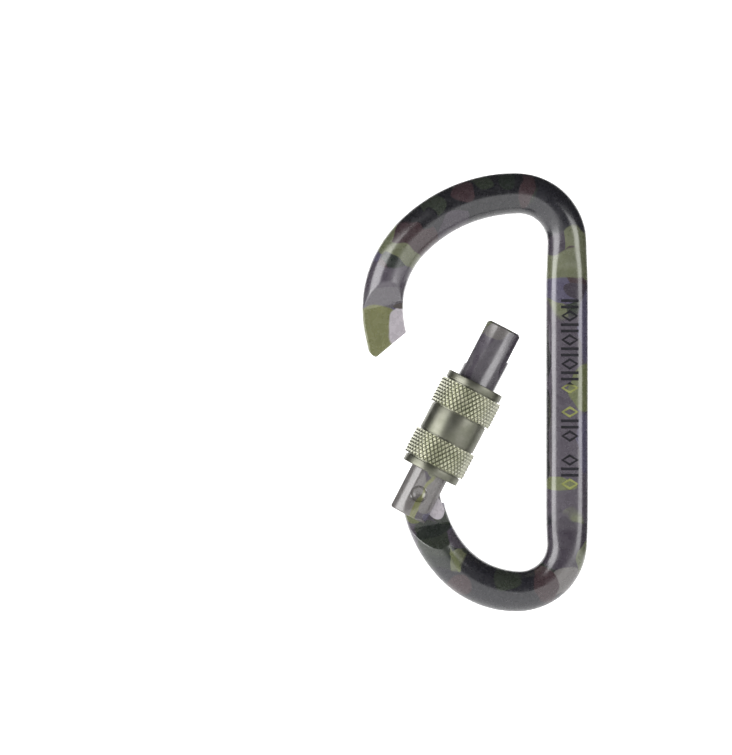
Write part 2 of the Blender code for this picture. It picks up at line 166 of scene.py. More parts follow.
# a cylinder along Y through the origin
def crossPin(name, radius, halfLength, sides=64):
    bm = bmesh.new()
    bmesh.ops.create_cone(
        bm,
        cap_ends=True,
        segments=sides,
        radius1=radius,
        radius2=radius,
        depth=2 * halfLength,
        matrix=Matrix.Rotation(math.radians(90), 4, "X"),
    )
    mesh = bpy.data.meshes.new(name)
    bm.to_mesh(mesh)
    bm.free()
    return mesh


def cutWith(obj, cutters):
    for cutter in cutters:
        modifier = obj.modifiers.new("cut", "BOOLEAN")
        modifier.material_mode = "TRANSFER"
        modifier.object = cutter
    bakeModifiers(obj)
    for cutter in cutters:
        bpy.data.objects.remove(cutter)
    return obj


# node helpers


# adds nodes to a tree: an argument that is a socket is linked, any other is set
class NodeMaker:
    def __init__(self, tree):
        self.tree = tree

    def add(self, kind, settings=None, inputs=None, out=0):
        node = self.tree.nodes.new(kind)
        for key, value in (settings or {}).items():
            setattr(node, key, value)
        for key, value in (inputs or {}).items():
            socket = node.inputs[key]
            if isinstance(value, bpy.types.NodeSocket):
                self.tree.links.new(value, socket)
            else:
                socket.default_value = value
        return node.outputs[out]

    def math(self, operation, first, second=None, clamp=False):
        inputs = {0: first}
        if second is not None:
            inputs[1] = second
        settings = {"operation": operation, "use_clamp": clamp}
        return self.add("ShaderNodeMath", settings, inputs)

    def vector(self, operation, first, second=None, out=0):
        inputs = {0: first}
        if second is not None:
            inputs[1] = second
        return self.add("ShaderNodeVectorMath", {"operation": operation}, inputs, out)

    def ramp(self, value, low, high, start=0.0, end=1.0, smooth=True):
        kind = "SMOOTHSTEP" if smooth else "LINEAR"
        inputs = {"Value": value, "From Min": low, "From Max": high}
        inputs.update({"To Min": start, "To Max": end})
        return self.add("ShaderNodeMapRange", {"interpolation_type": kind}, inputs)

    def mix(self, share, first, second, blend="MIX"):
        node = self.tree.nodes.new("ShaderNodeMix")
        node.data_type = "RGBA"
        node.blend_type = blend
        for socket, value in ((node.inputs[0], share), (node.inputs[6], first), (node.inputs[7], second)):
            if isinstance(value, bpy.types.NodeSocket):
                self.tree.links.new(value, socket)
            else:
                socket.default_value = value
        return node.outputs[2]

    def noise(self, where, scale, detail=2.0, roughness=0.5, out=0):
        inputs = {"Vector": where, "Scale": scale, "Detail": detail, "Roughness": roughness}
        return self.add("ShaderNodeTexNoise", None, inputs, out)


# a screen colour of 0 to 255 as the light values that a shader takes
def linear(red, green, blue):
    values = []
    for channel in (red, green, blue):
        share = channel / 255
        values.append(share / 12.92 if share <= 0.04045 else ((share + 0.055) / 1.055) ** 2.4)
    return (*values, 1.0)


def newMaterial(name, settings):
    material = bpy.data.materials.new(name)
    material.use_nodes = True
    shader = material.node_tree.nodes["Principled BSDF"]
    for key, value in settings.items():
        shader.inputs[key].default_value = value
    return material, NodeMaker(material.node_tree), shader


# camouflage coat
camoCoat = {
    "patchEdge": 0.035,
    "wander": 1.9 * mm,
    "wanderScale": 150,
    "cellSize": 7.5 * mm,
    "metallic": 0.1,
    "roughness": 0.26,
}
camoColours = {
    "navy": (30, 30, 38),
    "black": (22, 22, 28),
    "green": (50, 57, 46),
    "darkGreen": (34, 42, 35),
    "olive": (128, 130, 86),
    "moss": (112, 118, 78),
    "khaki": (112, 116, 88),
    "maroon": (66, 48, 52),
    "mauve": (86, 79, 90),
    "plum": (64, 56, 68),
    "violet": (90, 85, 108),
    "slate": (104, 100, 106),
    "grey": (122, 118, 116),
    # a pale colour: painted reflection on the nose tongue's bevelled inner side, and a pale patch at the hinge
    "paleAndReflection": (206, 199, 206),
    # painted shade for the top of the nose tongue's pale band, at the ramp
    "rampEndShade": (84, 77, 72),
}


# patches are (x, z, half width, half height, turn, colour, y), in mm on the piece at rest
def camoMaterial(name, patches, cellColours):
    material, make, shader = newMaterial(
        name,
        {
            "Metallic": camoCoat["metallic"],
            "IOR": 1.8,
            "Coat Weight": 1.0,
            "Coat Roughness": 0.2,
        },
    )
    where = make.add("ShaderNodeTexCoord", out=3)
    drift = make.noise(where, camoCoat["wanderScale"], 1.5, 0.5, out=1)
    drift = make.vector("SUBTRACT", drift, (0.5, 0.5, 0.5))
    scaled = make.tree.nodes.new("ShaderNodeVectorMath")
    scaled.operation = "SCALE"
    make.tree.links.new(drift, scaled.inputs[0])
    scaled.inputs["Scale"].default_value = camoCoat["wander"] * 2
    moved = make.vector("ADD", where, scaled.outputs[0])

    # cells of colour everywhere, which show at the back and wherever no patch lies
    inputs = {"Vector": moved, "Scale": 1 / camoCoat["cellSize"]}
    cell = make.add("ShaderNodeTexVoronoi", None, inputs, out=1)
    chance = make.add("ShaderNodeSeparateColor", None, {0: cell})
    colour = linear(*camoColours[cellColours[0]])
    for index, shade in enumerate(cellColours[1:], 1):
        over = make.math("GREATER_THAN", chance, index / len(cellColours))
        colour = make.mix(over, colour, linear(*camoColours[shade]))

    for x, z, halfWidth, halfHeight, turn, shade, y in patches:
        mapping = make.add(
            "ShaderNodeMapping",
            {"vector_type": "TEXTURE"},
            {
                "Vector": moved,
                "Location": (x * mm, y * mm, z * mm),
                "Rotation": (0, math.radians(turn), 0),
                "Scale": (halfWidth * mm, 5.2 * mm, halfHeight * mm),
            },
        )
        reach = make.vector("LENGTH", mapping, out=1)
        edge = camoCoat["patchEdge"]
        inside = make.ramp(reach, 1 + edge, 1 - edge)
        colour = make.mix(inside, colour, linear(*camoColours[shade]))

    # ink flecks, a little dust and worn tone
    fleck = make.noise(where, 2600, 3, 0.6)
    colour = make.mix(make.ramp(fleck, 0.35, 0.75, 0.0, 0.05), colour, linear(190, 186, 192))
    cloud = make.noise(where, 260, 3, 0.6)
    colour = make.mix(make.ramp(cloud, 0.4, 0.8, 0.0, 0.14), colour, linear(24, 22, 30))
    make.tree.links.new(colour, shader.inputs["Base Color"])
    rough = make.noise(where, 700, 4, 0.6)
    low = camoCoat["roughness"]
    make.tree.links.new(make.ramp(rough, 0.3, 0.7, low - 0.05, low + 0.08), shader.inputs["Roughness"])
    grain = make.noise(where, 5200, 3, 0.6)
    bump = make.add("ShaderNodeBump", None, {"Strength": 0.03, "Distance": 0.01 * mm, "Height": grain})
    make.tree.links.new(bump, shader.inputs["Normal"])
    return material


frontY = -3.0
bodyPatches = [
    # x, z, half width, half height, turn, colour, y
    (-8.0, 3.0, 16.0, 6.4, -14, "black", 0),
    (8.0, 2.0, 8.0, 6.6, 0, "navy", 0),
    (1.6, 3.8, 2.3, 3.4, 0, "maroon", 0),
    (-2.6, 5.4, 2.0, 2.2, 0, "darkGreen", 0),
    (-6.2, 5.2, 2.3, 1.8, 15, "green", 0),
    (-10.2, 3.4, 2.3, 2.4, 20, "maroon", 0),
    (-14.6, 1.0, 2.8, 2.8, 30, "green", 0),
    (-12.0, -1.6, 3.6, 1.5, -35, "plum", 0),
    (-16.2, -1.2, 2.6, 1.8, -35, "black", 0),
    (-19.2, -3.2, 3.0, 2.5, -35, "maroon", 0),
    (-21.2, -7.2, 4.4, 2.3, 35, "khaki", 0),
    (-23.5, -12.6, 6.0, 4.2, 0, "mauve", 0),
    (-24.4, -15.6, 5.4, 2.3, -14, "slate", frontY),
    (-25.6, -22.0, 5.4, 5.6, 0, "olive", 0),
    # painted reflection: the pale band where the tongue's bevelled inner side would catch the light
    (-18.2, -21.2, 5.2, 5.4, 0, "paleAndReflection", frontY),
    # painted shade where the tongue's pale band meets the ramp
    (-21.0, -16.8, 1.6, 0.6, -14, "rampEndShade", frontY),
    (10.0, -36.0, 9.0, 26.0, 0, "mauve", 0),
    (10.2, -8.7, 7.0, 3.6, -16, "khaki", 0),
    (11.4, -13.8, 3.6, 1.7, 0, "plum", 0),
    (12.6, -20.0, 1.5, 7.0, 0, "violet", frontY),
    (12.4, -31.6, 3.2, 4.8, 8, "moss", frontY),
    (12.4, -41.5, 1.8, 5.0, 0, "violet", frontY),
    (7.6, -49.0, 3.4, 1.3, 8, "moss", frontY),
    (9.0, -60.4, 5.4, 6.2, 0, "plum", 0),
    # painted shade: a black strip down the spine's inner edge, standing for the dark band its curve reflects
    (4.6, -34.0, 1.2, 19.0, 0, "black", 0),
    (-4.0, -68.0, 13.0, 7.0, 12, "navy", 0),
    (12.4, -63.0, 1.7, 3.6, 16, "khaki", frontY),
    (7.6, -66.4, 3.8, 2.4, -40, "grey", 0),
    (4.6, -67.0, 3.4, 3.4, -30, "maroon", 0),
    (-2.6, -66.4, 3.2, 2.2, 0, "green", 0),
    (-10.4, -67.0, 2.3, 2.0, 30, "maroon", 0),
    (-12.0, -63.2, 1.0, 3.4, -20, "moss", 0),
    (-15.2, -60.0, 3.0, 5.0, -30, "green", 0),
    (-15.6, -57.8, 3.6, 1.6, -20, "darkGreen", 0),
    (-18.4, -54.8, 1.5, 1.5, 0, "moss", frontY),
    (-13.6, -55.0, 2.0, 1.5, 0, "green", frontY),
    # a pale patch on the hinge tongue
    (-14.9, -53.4, 1.3, 2.2, 0, "paleAndReflection", frontY),
]
bodyCells = ["mauve", "navy", "green", "maroon", "khaki", "plum", "violet", "darkGreen"]


# turned and anodised metal


# satin metal with the fine rings of a lathe tool round the piece's own axis
def anodisedMaterial(name, axisFrame, light, dark, knurled):
    material, make, shader = newMaterial(name, {"Metallic": 0.95, "Specular IOR Level": 0.5})
    where = make.add("ShaderNodeTexCoord", out=3)
    turn = axisFrame.to_euler()
    along = make.add(
        "ShaderNodeMapping",
        {"vector_type": "TEXTURE"},
        {"Vector": where, "Location": axisFrame.translation, "Rotation": turn},
    )
    stretched = make.vector("MULTIPLY", along, (30, 30, 9000))
    rings = make.noise(stretched, 1.0, 2, 0.6)
    tone = make.noise(where, 420, 4, 0.6)
    colour = make.mix(make.ramp(tone, 0.3, 0.7), linear(*dark), linear(*light))
    colour = make.mix(make.ramp(rings, 0.35, 0.65, 0.0, 0.25), colour, linear(200, 200, 180))
    if knurled:
        # darker towards the knurl's roots and paler at its tips, by the stored tooth height
        height = make.add("ShaderNodeAttribute", {"attribute_name": "knurlHeight"}, out=2)
        rootDarkening = make.ramp(height, 0.4, 0.0, 0.0, 0.7)
        colour = make.mix(rootDarkening, colour, linear(38, 38, 28))
        colour = make.mix(make.ramp(height, 0.7, 1.0, 0.0, 0.35), colour, linear(222, 220, 200))
    make.tree.links.new(colour, shader.inputs["Base Color"])
    make.tree.links.new(make.ramp(rings, 0.3, 0.7, 0.30, 0.42), shader.inputs["Roughness"])
    fine = {"Strength": 0.12, "Distance": 0.01 * mm, "Height": rings}
    make.tree.links.new(make.add("ShaderNodeBump", None, fine), shader.inputs["Normal"])
    return material


# Geometry Nodes: knurl, threads and coils


def newNodeTree(name, inputs):
    tree = bpy.data.node_groups.new(name, "GeometryNodeTree")
    tree.interface.new_socket("Geometry", in_out="INPUT", socket_type="NodeSocketGeometry")
    for label, kind, value in inputs:
        socket = tree.interface.new_socket(label, in_out="INPUT", socket_type=kind)
        if value is not None:
            socket.default_value = value
    tree.interface.new_socket("Geometry", in_out="OUTPUT", socket_type="NodeSocketGeometry")
    entry = tree.nodes.new("NodeGroupInput")
    make = NodeMaker(tree)
    return tree, make, {socket.name: socket for socket in entry.outputs}


def endNodeTree(make, geometry, material):
    realised = make.add("GeometryNodeRealizeInstances", None, {0: geometry})
    painted = make.add("GeometryNodeSetMaterial", None, {0: realised, "Material": material})
    leave = make.tree.nodes.new("NodeGroupOutput")
    make.tree.links.new(painted, leave.inputs[0])


# runs a tree on an empty mesh with the named inputs, and returns the plain mesh
def growMesh(name, tree, values):
    obj = addPiece(name, bpy.data.meshes.new(name))
    modifier = obj.modifiers.new("grow", "NODES")
    modifier.node_group = tree
    sockets = {item.name: item.identifier for item in tree.interface.items_tree if item.in_out == "INPUT"}
    for label, value in values.items():
        modifier[sockets[label]] = value
    bakeModifiers(obj)
    mesh = obj.data
    bpy.data.objects.remove(obj)
    return mesh


# diamond teeth on a flat sheet, rolled into a band round Z
def knurlTree():
    tree, make, given = newNodeTree(
        "knurlBand",
        [
            ("Around", "NodeSocketInt", 40),
            ("Rows", "NodeSocketInt", 8),
            ("Lower", "NodeSocketFloat", 0.0),
            ("Upper", "NodeSocketFloat", 0.005),
            ("Root Radius", "NodeSocketFloat", 0.0055),
            ("Depth", "NodeSocketFloat", 0.0004),
            ("Tip Share", "NodeSocketFloat", 0.2),
            ("Inner Radius", "NodeSocketFloat", 0.005),
            ("Finish", "NodeSocketMaterial", None),
        ],
    )
    around, rows = given["Around"], given["Rows"]
    count = make.math("MULTIPLY", around, make.math("ADD", rows, 3))
    index = make.add("GeometryNodeInputIndex")
    column = make.math("FLOORED_MODULO", index, around)
    row = make.math("SUBTRACT", make.math("FLOOR", make.math("DIVIDE", make.math("ADD", index, 0.5), around)), 1)
    shifted = make.math("ADD", column, make.math("MULTIPLY", make.math("FLOORED_MODULO", row, 2), 0.5))
    place = make.add("ShaderNodeCombineXYZ", None, {0: shifted, 1: row})
    points = make.add("GeometryNodePoints", None, {"Count": count, "Position": place})
    tooth = make.add(
        "GeometryNodeMeshCone",
        {"fill_type": "NGON"},
        {"Vertices": 4, "Radius Bottom": 1.0, "Radius Top": given["Tip Share"], "Depth": 1.0},
    )
    facing = make.add("ShaderNodeSeparateXYZ", None, {0: make.add("GeometryNodeInputNormal")}, out=2)
    under = make.math("LESS_THAN", facing, -0.5)
    tooth = make.add("GeometryNodeDeleteGeometry", {"domain": "FACE"}, {0: tooth, "Selection": under})
    tooth = make.add("GeometryNodeTransform", None, {0: tooth, "Scale": (0.5, 1, 1)})
    sheet = make.add("GeometryNodeInstanceOnPoints", None, {"Points": points, "Instance": tooth})
    sheet = make.add("GeometryNodeRealizeInstances", None, {0: sheet})
    sheet = make.add("GeometryNodeMergeByDistance", None, {0: sheet, "Distance": 0.01})
    spot = make.add("GeometryNodeInputPosition")
    split = make.tree.nodes.new("ShaderNodeSeparateXYZ")
    make.tree.links.new(spot, split.inputs[0])
    across, up, rise = split.outputs
    store = {"data_type": "FLOAT", "domain": "POINT"}
    sheet = make.add("GeometryNodeStoreNamedAttribute", store, {0: sheet, "Name": "knurlHeight", "Value": rise})
    angle = make.math("MULTIPLY", make.math("DIVIDE", across, around), tau)
    share = make.math("DIVIDE", up, rows)
    height = make.ramp(share, 0.0, 1.0, given["Lower"], given["Upper"], smooth=False)
    below = make.math("LESS_THAN", up, -0.01)
    above = make.math("GREATER_THAN", up, make.math("ADD", rows, 0.01))
    outside = make.math("MAXIMUM", below, above)
    radius = make.math("ADD", given["Root Radius"], make.math("MULTIPLY", rise, given["Depth"]))
    radius = make.ramp(outside, 0.0, 1.0, radius, given["Inner Radius"], smooth=False)
    rolled = make.add(
        "ShaderNodeCombineXYZ",
        None,
        {
            0: make.math("MULTIPLY", radius, make.math("COSINE", angle)),
            1: make.math("MULTIPLY", radius, make.math("SINE", angle)),
            2: height,
        },
    )
    band = make.add("GeometryNodeSetPosition", None, {0: sheet, "Position": rolled})
    band = make.add("GeometryNodeMergeByDistance", None, {0: band, "Distance": 0.000001})
    endNodeTree(make, band, given["Finish"])
    return tree


# sweeps a wedge for a thread along a helix that winds up Z; a negative thickness points it inward
def coilTree(name):
    sizes = [
        ("Turns", "NodeSocketFloat", 1.0),
        ("Pitch", "NodeSocketFloat", 0.001),
        ("Radius", "NodeSocketFloat", 0.004),
        ("Start", "NodeSocketFloat", 0.0),
        ("Thickness", "NodeSocketFloat", 0.0005),
        ("Width", "NodeSocketFloat", 0.0005),
        ("Crest Width", "NodeSocketFloat", 0.0002),
        ("Steps", "NodeSocketInt", 48),
        ("Finish", "NodeSocketMaterial", None),
    ]
    tree, make, given = newNodeTree(name, sizes)
    height = make.math("MULTIPLY", given["Turns"], given["Pitch"])
    helix = make.add(
        "GeometryNodeCurveSpiral",
        None,
        {
            "Resolution": given["Steps"],
            "Rotations": given["Turns"],
            "Start Radius": given["Radius"],
            "End Radius": given["Radius"],
            "Height": height,
            "Reverse": True,
        },
    )
    helix = make.add("GeometryNodeSetCurveNormal", {"mode": "Z_UP"}, {0: helix})
    section = make.add(
        "GeometryNodeCurvePrimitiveQuadrilateral",
        {"mode": "TRAPEZOID"},
        {
            "Height": given["Thickness"],
            "Bottom Width": given["Width"],
            "Top Width": given["Crest Width"],
            "Offset": 0.0,
        },
    )
    turned = (0, 0, math.radians(-90))
    section = make.add("GeometryNodeTransform", None, {0: section, "Rotation": turned})
    swept = make.add(
        "GeometryNodeCurveToMesh",
        None,
        {"Curve": helix, "Profile Curve": section, "Fill Caps": True},
    )
    lifted = make.add("ShaderNodeCombineXYZ", None, {2: given["Start"]})
    swept = make.add("GeometryNodeTransform", None, {0: swept, "Translation": lifted})
    endNodeTree(make, swept, given["Finish"])
    return tree


# a row of raised figures, diamonds and pairs of bars by turns, with two gaps, that goes down from the origin
def markTree():
    sizes = [
        ("Count", "NodeSocketInt", 16),
        ("Pitch", "NodeSocketFloat", 0.002),
        ("Tall", "NodeSocketFloat", 0.003),
        ("Wide", "NodeSocketFloat", 0.0015),
        ("Stroke", "NodeSocketFloat", 0.0004),
        ("Depth", "NodeSocketFloat", 0.0005),
        ("First Gap", "NodeSocketInt", 8),
        ("Second Gap", "NodeSocketInt", 12),
        ("Finish", "NodeSocketMaterial", None),
    ]
    tree, make, given = newNodeTree("markRow", sizes)
    index = make.add("GeometryNodeInputIndex")
    down = make.math("MULTIPLY", given["Pitch"], -1)
    place = make.add("ShaderNodeCombineXYZ", None, {2: make.math("MULTIPLY", index, down)})
    points = make.add("GeometryNodePoints", None, {"Count": given["Count"], "Position": place})
    first = make.math("COMPARE", index, given["First Gap"])
    second = make.math("COMPARE", index, given["Second Gap"])
    kept = make.math("SUBTRACT", 1, make.math("MAXIMUM", first, second))
    odd = make.math("FLOORED_MODULO", index, 2)
    half = make.math("MULTIPLY", given["Wide"], 0.5)
    across = make.math("SUBTRACT", given["Tall"], given["Stroke"])
    lattice = make.add(
        "GeometryNodeCurvePrimitiveQuadrilateral",
        {"mode": "KITE"},
        {"Width": across, "Bottom Height": half, "Top Height": half},
    )
    section = make.add(
        "GeometryNodeCurvePrimitiveQuadrilateral",
        None,
        {"Width": given["Stroke"], "Height": given["Depth"]},
    )
    diamond = make.add("GeometryNodeCurveToMesh", None, {"Curve": lattice, "Profile Curve": section})
    diamond = make.add("GeometryNodeTransform", None, {0: diamond, "Rotation": (math.radians(90), 0, 0)})
    barSize = make.add("ShaderNodeCombineXYZ", None, {0: given["Tall"], 1: given["Depth"], 2: given["Stroke"]})
    bar = make.add("GeometryNodeMeshCube", None, {"Size": barSize})
    apart = make.math("MULTIPLY", given["Wide"], 0.35)
    bars = make.tree.nodes.new("GeometryNodeJoinGeometry")
    for side in (-1, 1):
        shift = make.add("ShaderNodeCombineXYZ", None, {2: make.math("MULTIPLY", apart, side)})
        moved = make.add("GeometryNodeTransform", None, {0: bar, "Translation": shift})
        make.tree.links.new(moved, bars.inputs[0])
    row = make.tree.nodes.new("GeometryNodeJoinGeometry")
    for figure, share in ((diamond, odd), (bars.outputs[0], make.math("SUBTRACT", 1, odd))):
        chosen = {"Points": points, "Instance": figure, "Selection": make.math("MULTIPLY", share, kept)}
        make.tree.links.new(make.add("GeometryNodeInstanceOnPoints", None, chosen), row.inputs[0])
    endNodeTree(make, row.outputs[0], given["Finish"])
    return tree


# the bent rod
rod = {
    "radius": 3.83,
    "crestRadius": 3.78,
    "cornerRadius": 3.62,
    "noseRadius": 3.78,
    "stampedRadius": 3.92,
    "sides": 128,
    "step": 0.5,
    "fineStep": 0.16,
    "pressSoftness": 0.8,
    "millSoftness": 0.14,
    "flatHalfThickness": 3.3,
    "flatTop": -10.1,
    "flatBottom": -57.6,
    "runOut": 1.4,
    "flatFade": 0.085,
    "tongueHalfThickness": 1.55,
    "noseRamp": (34.9, 38.8),
    "hingeRamp": (-6.2, -10.4),
    "stopTip": (2.96, 25.7),
    "stopCorner": (-3.54, 29.0),
    "camFlat": 2.6,
    "endRound": 0.22,
}


# follows straight runs and arcs, each (kind, size, sweep, radius, step), into points, headings and radii
def layPath(start, heading, parts):
    here, made = Vector(start), []
    for kind, size, sweep, radius, step in parts:
        if kind == "straight":
            count = max(1, round(size / step))
            direction = Vector((math.cos(heading), math.sin(heading)))
            for index in range(1, count + 1):
                made.append((here + direction * size * index / count, heading, radius))
            here = made[-1][0].copy()
            continue
        side = math.copysign(1, sweep)
        centre = here + Vector((-math.sin(heading), math.cos(heading))) * side * size
        count = max(2, round(size * abs(sweep) / step))
        began = heading
        for index in range(1, count + 1):
            heading = began + sweep * index / count
            outward = Vector((math.sin(heading), -math.cos(heading))) * side
            made.append((centre + outward * size, heading, radius))
        here = made[-1][0].copy()
    return made


# centre line stations from the nose, over the crest and down the spine, to the hinge, in mm
def rodStations():
    coarse, fine = rod["step"], rod["fineStep"]
    corner, crest = rod["cornerRadius"], rod["crestRadius"]
    spineTop = crest - 8.98
    above = spineTop - rod["flatTop"] - rod["runOut"]
    pressed = rod["flatTop"] - rod["flatBottom"] + 2 * rod["runOut"]
    lower = layPath(
        (0, crest),
        0,
        [
            ("arc", 8.98, -math.pi / 2, corner, coarse),
            ("straight", above, 0, corner * 1.01, 0.35),
            ("straight", pressed, 0, rod["stampedRadius"], coarse),
            ("straight", 54.64 - above - pressed, 0, corner * 1.01, 0.35),
            ("arc", 8.85, -math.pi / 2, corner, coarse),
            ("arc", 16.07, math.radians(-45.4), rod["radius"], coarse),
            ("arc", 21.9, math.radians(-31.9), rod["radius"], fine),
        ],
    )
    rivet = Vector((rivetAt.x, rivetAt.z)) / mm
    along = Vector((math.sin(closedLean), math.cos(closedLean)))
    outward = Vector((-along.y, along.x))
    topArc = ("arc", 27.12, math.radians(45.2), rod["radius"], coarse)
    upper = layPath((0, crest), math.pi, [topArc])
    point, heading, _ = upper[-1]
    final = math.pi * 1.5 - closedLean
    leftNormal = Vector((-math.sin(heading), math.cos(heading)))
    bend = -(point - rivet).dot(outward) / (1 + leftNormal.dot(outward))
    upper += layPath(point, heading, [("arc", bend, final - heading, rod["noseRadius"], fine)])
    start = [(Vector((0, crest)), math.pi, crest)]
    nose = [(p, h + math.pi, r) for p, h, r in reversed(start + upper)]
    return nose + lower


# the smaller of two values, with a rounded corner where they cross
def softMin(first, second, softness):
    gap = np.clip(0.5 + (second - first) / (2 * softness), 0, 1)
    return second + (first - second) * gap - softness * gap * (1 - gap)


# half the thickness that presses and mills leave at each point of the D's plane, in mm
def milledHeight(x, z):
    softness = np.where(x > 4.5, rod["pressSoftness"], rod["millSoftness"])
    thin, full = rod["tongueHalfThickness"], 9.0
    gate = np.array(closedGate.inverted())
    along = gate[2, 0] * x * mm + gate[2, 2] * z * mm + gate[2, 3]
    outward = gate[0, 0] * x * mm + gate[0, 2] * z * mm + gate[0, 3]
    along, outward = along / mm, -outward / mm
    rise = rod["radius"] - thin
    noseBase, noseTop = rod["noseRamp"]
    nose = thin + np.maximum(0, along - noseBase) * rise / (noseTop - noseBase)
    nose = np.where((along > 15) & (x < 0), nose, full)
    hingeBase, hingeTop = rod["hingeRamp"]
    hinge = thin + np.maximum(0, hingeBase - along) * rise / (hingeBase - hingeTop)
    hinge = np.where((along < 10) & (x < -8), hinge, full)
    past = np.maximum(0, np.maximum(z - rod["flatTop"], rod["flatBottom"] - z))
    spine = rod["flatHalfThickness"] + past * rod["flatFade"]
    spine = np.where(x > 4.5, spine, full)
    bevelled = (along > 15) & (along < noseBase) & (x < 0)
    bevel = np.where(bevelled, 0.13 * np.maximum(0, -0.94 - outward), 0)
    return np.minimum(np.minimum(nose, hinge), spine) - bevel, softness


# flattens one ring of the round rod to the milled height
def sectionRing(x, y, z):
    height, softness = milledHeight(x, z)
    flat = softMin(np.abs(y), height, softness)
    return np.sign(y) * np.maximum(flat, 0)


# how far down the gate's axis the nose reaches, from its inner to its outer side
def noseEnd(outward):
    (tipOut, tipAlong), (cornerOut, cornerAlong) = rod["stopTip"], rod["stopCorner"]
    slope = (cornerAlong - tipAlong) / (cornerOut - tipOut)
    slanted = tipAlong + (outward - tipOut) * slope
    beyond = np.maximum(0, outward - (tipOut - 0.55))
    return slanted + 1.1 * beyond**2


# the hinge tongue's half-round end, with the cam flat on top
def hingeEnd(outward):
    reach = np.sqrt(np.maximum(0, rod["radius"] ** 2 - (outward + 0.4) ** 2)) - 0.5
    return softMin(reach, np.full_like(reach, rod["camFlat"]), 0.12)


# rings in the closed gate's frame from a round section to the shaped end, then a rounded rim
def tongueRings(startAlong, endOf, radius, count):
    angles = np.arange(rod["sides"]) * tau / rod["sides"]
    outward, depth = radius * np.cos(angles), radius * np.sin(angles)
    rings = []
    last = endOf(outward)
    sign = math.copysign(1, np.mean(last) - startAlong)
    stop = last - sign * rod["endRound"]
    gate = np.array(closedGate)
    for index in range(1, count + 1):
        along = startAlong + (stop - startAlong) * index / count
        rings.append((outward, depth, along))
    for step in range(1, 5):
        angle = math.radians(90) * step / 4
        inset = rod["endRound"] * (1 - math.cos(angle))
        along = stop + sign * rod["endRound"] * math.sin(angle)
        rings.append((outward * (1 - inset / radius), depth, along, inset))
    placed = []
    for ringOut, ringDepth, along, *inset in rings:
        x = (gate[0, 0] * -ringOut + gate[0, 2] * along) + gate[0, 3] / mm
        z = (gate[2, 0] * -ringOut + gate[2, 2] * along) + gate[2, 3] / mm
        y = sectionRing(x, ringDepth, z)
        if inset:
            limit = rod["tongueHalfThickness"] - inset[0]
            y = np.clip(y, -limit, limit)
        placed.append(np.stack([x, y, z], 1))
    return placed


def rodMesh():
    stations = rodStations()
    radii = np.array([radius for _, _, radius in stations])
    for _ in range(60):
        padded = np.concatenate([[radii[0]], radii, [radii[-1]]])
        radii = (padded[:-2] + 2 * padded[1:-1] + padded[2:]) / 4
    angles = np.arange(rod["sides"]) * tau / rod["sides"]
    middle = []
    for (point, heading, _), radius in zip(stations, radii):
        side = Vector((-math.sin(heading), math.cos(heading)))
        x = point.x + radius * np.cos(angles) * side.x
        z = point.y + radius * np.cos(angles) * side.y
        y = sectionRing(x, radius * np.sin(angles), z)
        middle.append(np.stack([x, y, z], 1))
    gate = closedGate.inverted()
    first, last = stations[0][0], stations[-1][0]
    noseStart = (gate @ Vector((first.x * mm, 0, first.y * mm))).z / mm
    hingeStart = (gate @ Vector((last.x * mm, 0, last.y * mm))).z / mm
    nose = tongueRings(noseStart, noseEnd, radii[0], 34)
    hinge = tongueRings(hingeStart, hingeEnd, radii[-1], 22)
    # every ring starts on the same side: the nose's and the hinge's are turned to meet the rod's
    nose = [alignRing(ring, middle[0]) for ring in nose]
    hinge = [alignRing(ring, middle[-1]) for ring in hinge]
    rings = nose[::-1] + middle + hinge
    sides = rod["sides"]
    points = np.concatenate(rings) * mm
    faces = []
    for row in range(len(rings) - 1):
        for side in range(sides):
            after = (side + 1) % sides
            low, high = row * sides, (row + 1) * sides
            faces.append((low + side, low + after, high + after, high + side))
    faces.append(tuple(range(sides)))
    end = (len(rings) - 1) * sides
    faces.append(tuple(end + side for side in range(sides)))
    mesh = meshFrom("bentRod", points, faces)
    tidyNormals(mesh)
    return mesh


# turns or flips a ring's order so that its points pair with the target's
def alignRing(ring, target):
    options = []
    for order in (ring, ring[::-1]):
        for shift in range(0, len(ring)):
            if len(options) and shift % 1:
                continue
            rolled = np.roll(order, shift, axis=0)
            options.append((np.abs(rolled - target).sum(), shift, order is ring))
    _, shift, forward = min(options)
    return np.roll(ring if forward else ring[::-1], shift, axis=0)


marks = {
    "count": 16,
    "pitch": 2.18,
    "tall": 3.2,
    "wide": 1.65,
    "stroke": 0.5,
    "depth": 0.25,
    "firstGap": 8,
    "secondGap": 12,
    "centre": 9.35,
    "top": -16.4,
}


# the marks' recesses are dark, as ink and as painted shade of the engraving, and pale where the marks cross the
# khaki patches
def inkAndShadeMaterial():
    material, make, shader = newMaterial("markInkAndShade", {"Roughness": 0.55, "Coat Weight": 0.3})
    where = make.add("ShaderNodeTexCoord", out=3)
    split = make.tree.nodes.new("ShaderNodeSeparateXYZ")
    make.tree.links.new(where, split.inputs[0])
    wobble = make.noise(where, 900, 2, 0.6)
    height = make.math("ADD", split.outputs[2], make.math("MULTIPLY", wobble, 1.2 * mm))
    pale = make.ramp(height, -36.6 * mm, -36.2 * mm)
    pale = make.math("MULTIPLY", pale, make.ramp(height, -30.4 * mm, -30.8 * mm))
    pale = make.math("MAXIMUM", pale, make.ramp(height, -47.4 * mm, -47.8 * mm))
    tone = make.mix(make.ramp(wobble, 0.3, 0.7), linear(20, 19, 26), linear(34, 32, 42))
    make.tree.links.new(make.mix(pale, tone, linear(178, 182, 112)), shader.inputs["Base Color"])
    return material


